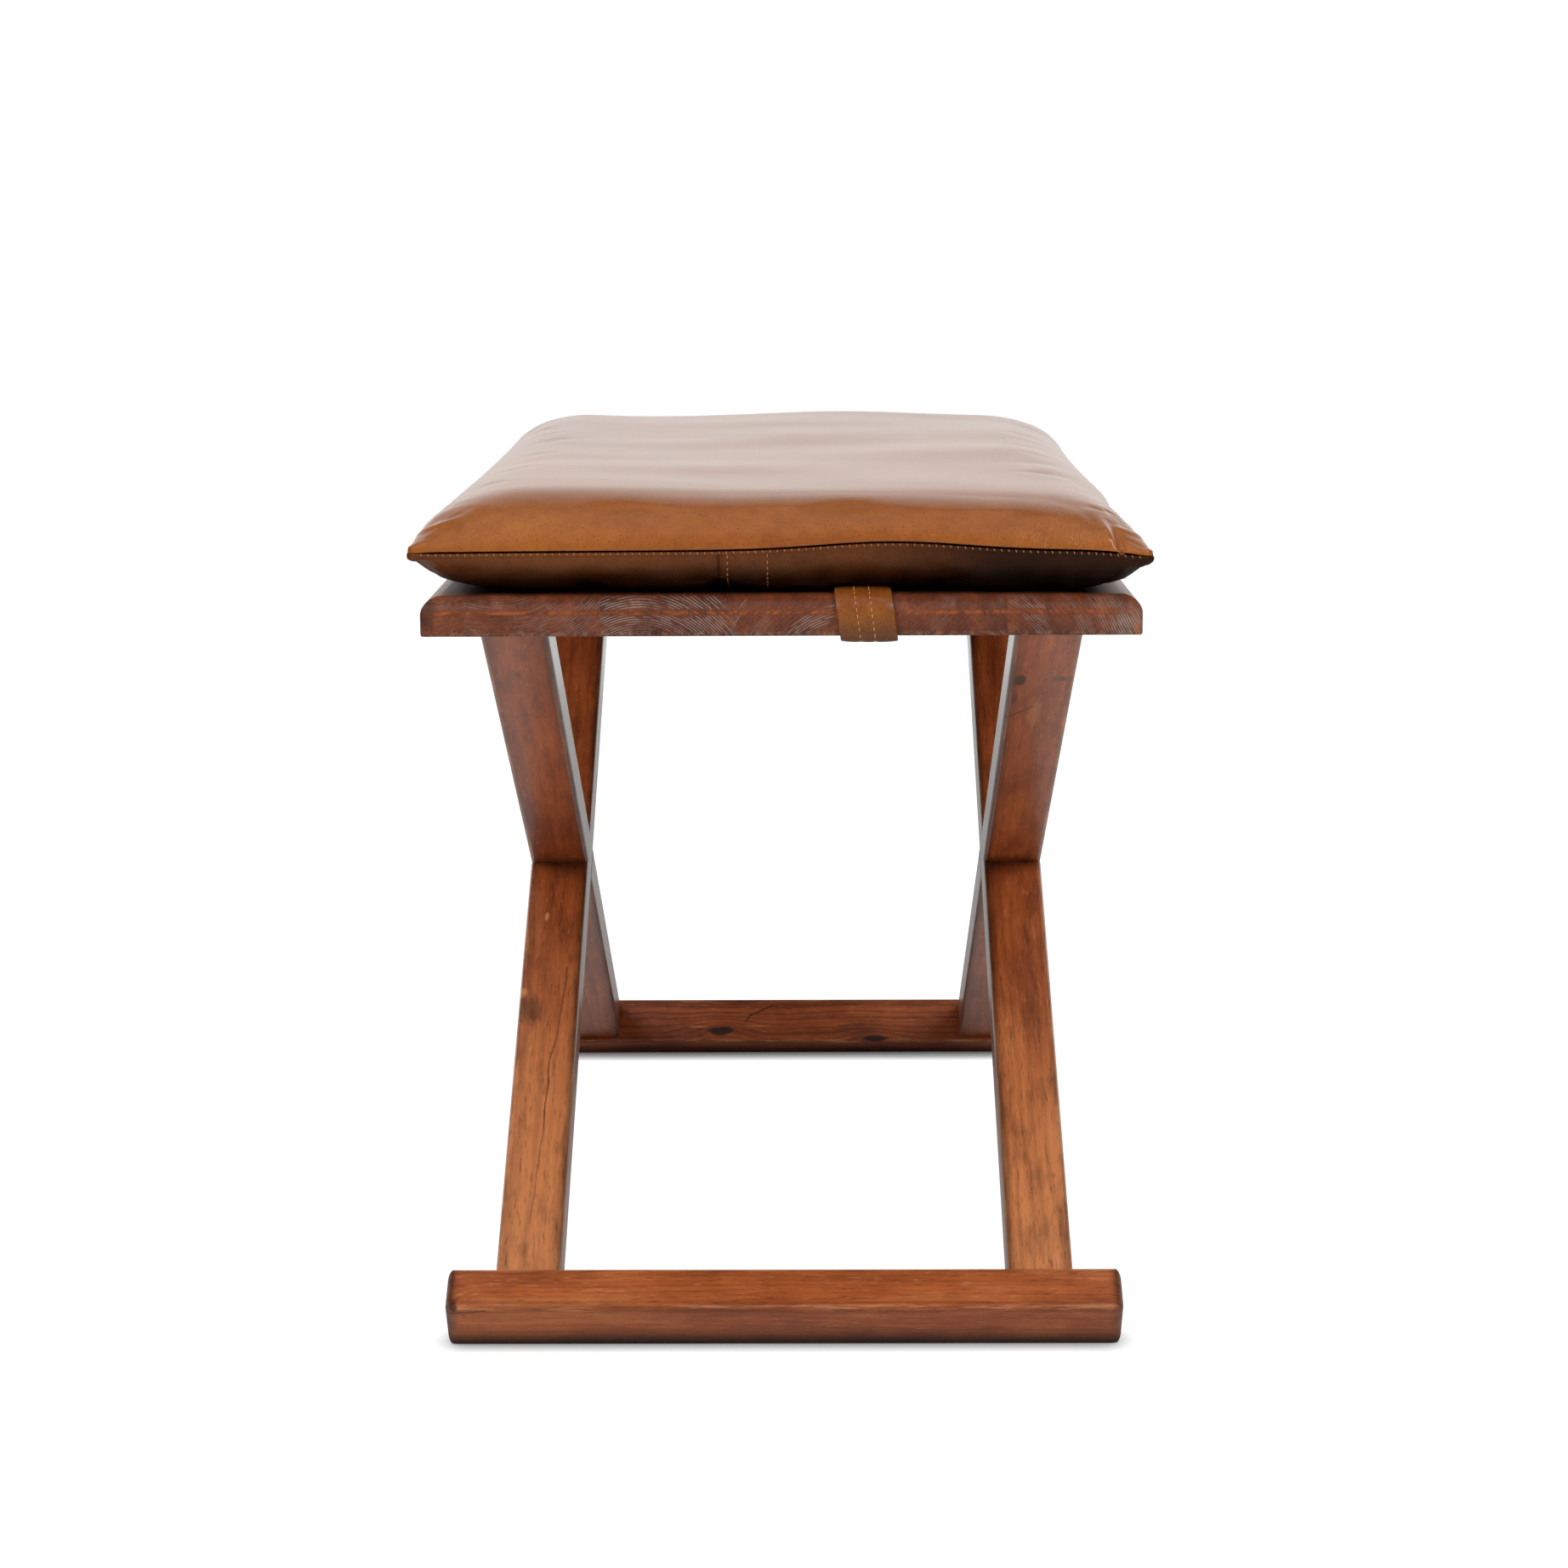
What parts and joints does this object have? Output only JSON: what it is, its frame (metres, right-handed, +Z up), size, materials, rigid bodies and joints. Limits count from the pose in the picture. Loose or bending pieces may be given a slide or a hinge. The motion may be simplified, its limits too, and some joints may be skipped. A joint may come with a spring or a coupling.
{
  "type": "camel saddle stool",
  "caption": "Low rectangular stool: a wooden board on two fixed X-shaped leg frames with foot rails, carrying a loose tan leather cushion held by straps over the board's ends.",
  "frame": {"origin": "on the floor in the middle of the stool's footprint", "axes": "+Z up from the floor, +Y along the length from the front edge in the picture to the back edge, +X across the width to the right as seen from the front"},
  "size_m": [0.4106, 0.7132, 0.4953],
  "materials": {
    "board_wood": "satin",
    "leg_wood": "satin",
    "tenon_wood": "matte",
    "cushion_leather": "satin",
    "strap_leather": "satin",
    "foam": "matte",
    "screw_metal": "satin"
  },
  "bodies": {
    "frame": {"seat_stave_1": "board_wood", "seat_stave_2": "board_wood", "seat_stave_3": "board_wood", "seat_stave_4": "board_wood", "seat_stave_5": "board_wood", "seat_stave_6": "board_wood", "left_leg_rising_to_front": "leg_wood", "left_leg_rising_to_back": "leg_wood", "right_leg_rising_to_front": "leg_wood", "right_leg_rising_to_back": "leg_wood", "front_foot_rail": "leg_wood", "back_foot_rail": "leg_wood", "foot_tenons": "tenon_wood", "seat_tenons": "tenon_wood", "front_strap": "strap_leather", "back_strap": "strap_leather", "strap_washers": "screw_metal", "strap_screws": "screw_metal"},
    "cushion": {"cushion_top_panel": "cushion_leather", "cushion_left_under_panel": "cushion_leather", "cushion_right_under_panel": "cushion_leather", "cushion_core": "foam"}
  },
  "joints": [
    {"name": "cushion_lift", "type": "slide", "parent": "frame", "child": "cushion", "axis": [0, 0, 1], "range_m": [0, 0.15]}
  ]
}
